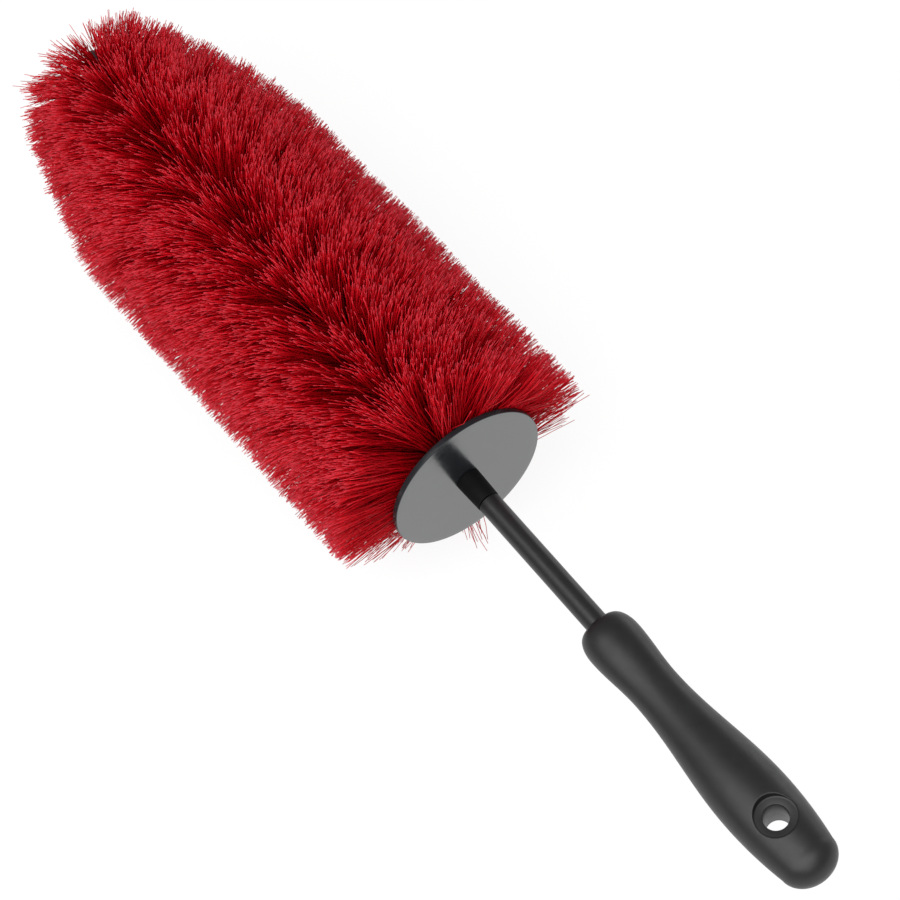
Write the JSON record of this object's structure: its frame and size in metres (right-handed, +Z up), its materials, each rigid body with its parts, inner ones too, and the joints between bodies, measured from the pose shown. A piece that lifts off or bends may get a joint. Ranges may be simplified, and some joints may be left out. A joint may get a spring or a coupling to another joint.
{
  "type": "wheel brush",
  "caption": "Hand brush for wheels: tapered head of filaments held in a twisted wire stem, with a round splash guard, a sleeved rod and a moulded grip with a hang hole",
  "frame": {"origin": "below the middle of the brush's length, on the surface that it lies on", "axes": "+X runs along the stem from the tip to the handle, +Z is up and runs through the hang hole"},
  "size_m": [0.45, 0.1018, 0.1009],
  "materials": {
    "grip": "satin moulded black",
    "rod": "satin dark grey",
    "collar": "matt black",
    "guard": "semi-gloss dark grey",
    "wire": "galvanised wire",
    "filament": "glossy red filament",
    "cap": "matt black"
  },
  "bodies": {
    "root": {"handle": "grip", "shaft_tube": "rod", "guard_collar": "collar", "guard_disc": "guard", "stem_wire_a": "wire", "stem_wire_b": "wire", "stem_ferrule": "wire", "bristles": "filament", "tip_cap": "cap"}
  },
  "joints": []
}
